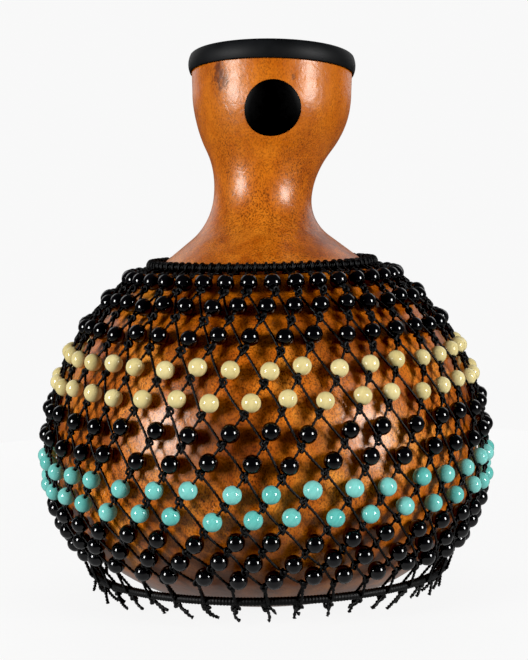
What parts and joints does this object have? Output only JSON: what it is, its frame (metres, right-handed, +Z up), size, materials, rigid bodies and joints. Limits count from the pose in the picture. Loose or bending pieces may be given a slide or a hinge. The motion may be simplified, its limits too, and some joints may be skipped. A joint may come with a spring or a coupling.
{
  "type": "shekere",
  "caption": "Hollow gourd rattle with an open flared neck, edged in rubber, in a loose knotted net of round beads that twists on the belly.",
  "frame": {"origin": "on the floor under the middle of the net, in the foot's face", "axes": "+Z up along the net's axis, front of the neck towards -Y"},
  "size_m": [0.2714, 0.2713, 0.3209],
  "materials": {
    "gourd": "dried calabash skin, sanded and varnished, orange on the neck and mottled brown on the belly",
    "rim": "matt black extruded rubber edging",
    "cord": "black twisted nylon cord, waxed and knotted by hand",
    "beads_black": "turned balls, gloss black lacquer",
    "beads_ivory": "turned balls, pale ivory lacquer with faint grain",
    "beads_turquoise": "turned balls, turquoise lacquer"
  },
  "bodies": {
    "gourd": {"gourd_shell": "gourd", "mouth_rim": "rim", "collar_cord": "cord", "bead_row_01": "beads_black", "net_tier_01": "cord"},
    "row_02": {"bead_row_02": "beads_black", "net_tier_02": "cord"},
    "row_03": {"bead_row_03": "beads_black", "net_tier_03": "cord"},
    "row_04": {"bead_row_04": "beads_ivory", "net_tier_04": "cord"},
    "row_05": {"bead_row_05": "beads_ivory", "net_tier_05": "cord"},
    "row_06": {"bead_row_06": "beads_black", "net_tier_06": "cord"},
    "row_07": {"bead_row_07": "beads_black", "net_tier_07": "cord"},
    "row_08": {"bead_row_08": "beads_turquoise", "net_tier_08": "cord"},
    "row_09": {"bead_row_09": "beads_turquoise", "net_tier_09": "cord"},
    "row_10": {"bead_row_10": "beads_black", "net_tier_10": "cord"},
    "row_11": {"bead_row_11": "beads_black", "net_tier_11": "cord"},
    "net_hem": {"bead_row_12": "beads_black", "net_tier_12": "cord", "hem_drops": "cord", "bottom_ring": "cord", "ring_tails": "cord"}
  },
  "joints": [
    {"name": "net_twist", "type": "hinge", "parent": "gourd", "child": "net_hem", "pos_m": [0, 0, 0.0339], "axis": [0, 0, 1], "range_deg": [-15, 15], "deforming": ["net_tier_12"]},
    {"name": "row_02_twist", "type": "hinge", "parent": "gourd", "child": "row_02", "pos_m": [0, 0, 0.1717], "axis": [0, 0, 1], "range_deg": [-0.73, 0.73], "deforming": ["net_tier_02"]},
    {"name": "row_03_twist", "type": "hinge", "parent": "gourd", "child": "row_03", "pos_m": [0, 0, 0.1575], "axis": [0, 0, 1], "range_deg": [-1.88, 1.88], "deforming": ["net_tier_03"]},
    {"name": "row_04_twist", "type": "hinge", "parent": "gourd", "child": "row_04", "pos_m": [0, 0, 0.1425], "axis": [0, 0, 1], "range_deg": [-3.54, 3.54], "deforming": ["net_tier_04"]},
    {"name": "row_05_twist", "type": "hinge", "parent": "gourd", "child": "row_05", "pos_m": [0, 0, 0.1271], "axis": [0, 0, 1], "range_deg": [-5.55, 5.55], "deforming": ["net_tier_05"]},
    {"name": "row_06_twist", "type": "hinge", "parent": "gourd", "child": "row_06", "pos_m": [0, 0, 0.1117], "axis": [0, 0, 1], "range_deg": [-7.73, 7.73], "deforming": ["net_tier_06"]},
    {"name": "row_07_twist", "type": "hinge", "parent": "gourd", "child": "row_07", "pos_m": [0, 0, 0.0966], "axis": [0, 0, 1], "range_deg": [-9.85, 9.85], "deforming": ["net_tier_07"]},
    {"name": "row_08_twist", "type": "hinge", "parent": "gourd", "child": "row_08", "pos_m": [0, 0, 0.082], "axis": [0, 0, 1], "range_deg": [-11.73, 11.73], "deforming": ["net_tier_08"]},
    {"name": "row_09_twist", "type": "hinge", "parent": "gourd", "child": "row_09", "pos_m": [0, 0, 0.0682], "axis": [0, 0, 1], "range_deg": [-13.24, 13.24], "deforming": ["net_tier_09"]},
    {"name": "row_10_twist", "type": "hinge", "parent": "gourd", "child": "row_10", "pos_m": [0, 0, 0.0554], "axis": [0, 0, 1], "range_deg": [-14.29, 14.29], "deforming": ["net_tier_10"]},
    {"name": "row_11_twist", "type": "hinge", "parent": "gourd", "child": "row_11", "pos_m": [0, 0, 0.044], "axis": [0, 0, 1], "range_deg": [-14.87, 14.87], "deforming": ["net_tier_11"]}
  ],
  "couplings": [
    {"joint": "row_02_twist", "follows": "net_twist", "ratio": 0.0454},
    {"joint": "row_03_twist", "follows": "net_twist", "ratio": 0.122},
    {"joint": "row_04_twist", "follows": "net_twist", "ratio": 0.2326},
    {"joint": "row_05_twist", "follows": "net_twist", "ratio": 0.367},
    {"joint": "row_06_twist", "follows": "net_twist", "ratio": 0.5119},
    {"joint": "row_07_twist", "follows": "net_twist", "ratio": 0.6532},
    {"joint": "row_08_twist", "follows": "net_twist", "ratio": 0.7787},
    {"joint": "row_09_twist", "follows": "net_twist", "ratio": 0.8793},
    {"joint": "row_10_twist", "follows": "net_twist", "ratio": 0.9494},
    {"joint": "row_11_twist", "follows": "net_twist", "ratio": 0.9883}
  ]
}
